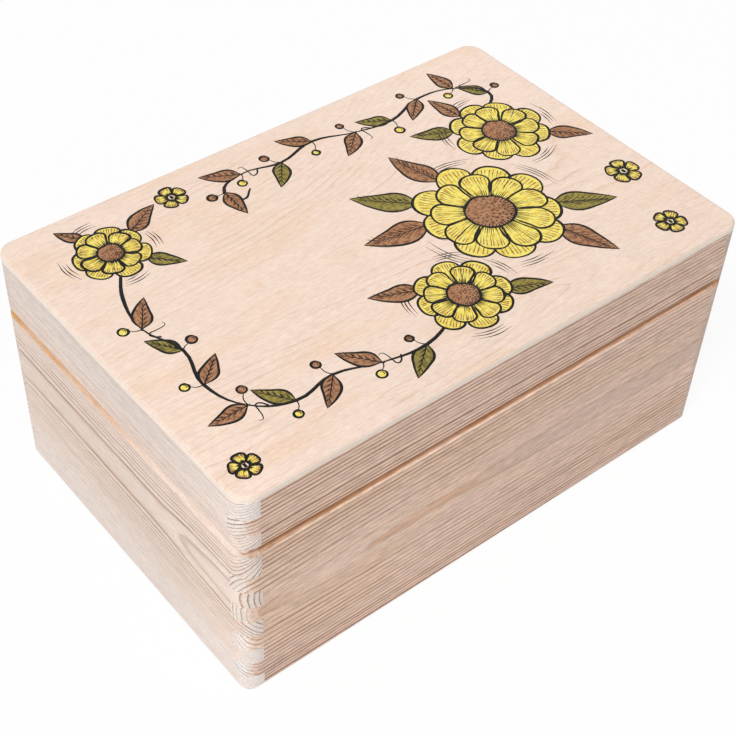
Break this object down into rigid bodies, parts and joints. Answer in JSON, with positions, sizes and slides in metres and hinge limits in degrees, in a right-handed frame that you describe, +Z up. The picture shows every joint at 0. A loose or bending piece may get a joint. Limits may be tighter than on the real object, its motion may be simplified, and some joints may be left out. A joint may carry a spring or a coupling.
{
  "type": "keepsake box",
  "caption": "Shallow finger-jointed pine box with a hinged plywood-topped lid, for keeping papers and small mementoes.",
  "frame": {"origin": "middle of the underside, on the surface that the box stands on", "axes": "+X to the right along the long side, +Y to the back where the hinges are, +Z up through the lid"},
  "size_m": [0.3, 0.198, 0.1355],
  "materials": {
    "pine": "sanded, unvarnished solid pine",
    "plywood": "sanded, unvarnished birch plywood",
    "brass": "satin brass",
    "steel": "bright drawn steel",
    "ink_dark": "matt black-brown print on the plywood",
    "ink_brown": "matt brown print on the plywood",
    "ink_yellow": "matt yellow print on the plywood",
    "ink_green": "matt green print on the plywood"
  },
  "bodies": {
    "box": {"body_front_board": "pine", "body_back_board": "pine", "body_left_board": "pine", "body_right_board": "pine", "bottom_panel": "plywood", "left_hinge_body_leaf": "brass", "left_hinge_pin": "steel", "left_hinge_body_screws": "brass", "right_hinge_body_leaf": "brass", "right_hinge_pin": "steel", "right_hinge_body_screws": "brass"},
    "lid": {"lid_front_board": "pine", "lid_back_board": "pine", "lid_left_board": "pine", "lid_right_board": "pine", "lid_top_panel": "plywood", "left_hinge_lid_leaf": "brass", "left_hinge_lid_screws": "brass", "right_hinge_lid_leaf": "brass", "right_hinge_lid_screws": "brass"}
  },
  "joints": [
    {"name": "lid_hinge", "type": "hinge", "parent": "box", "child": "lid", "pos_m": [0, 0.09675, 0.1], "axis": [-1, 0, 0], "range_deg": [0, 100]}
  ]
}
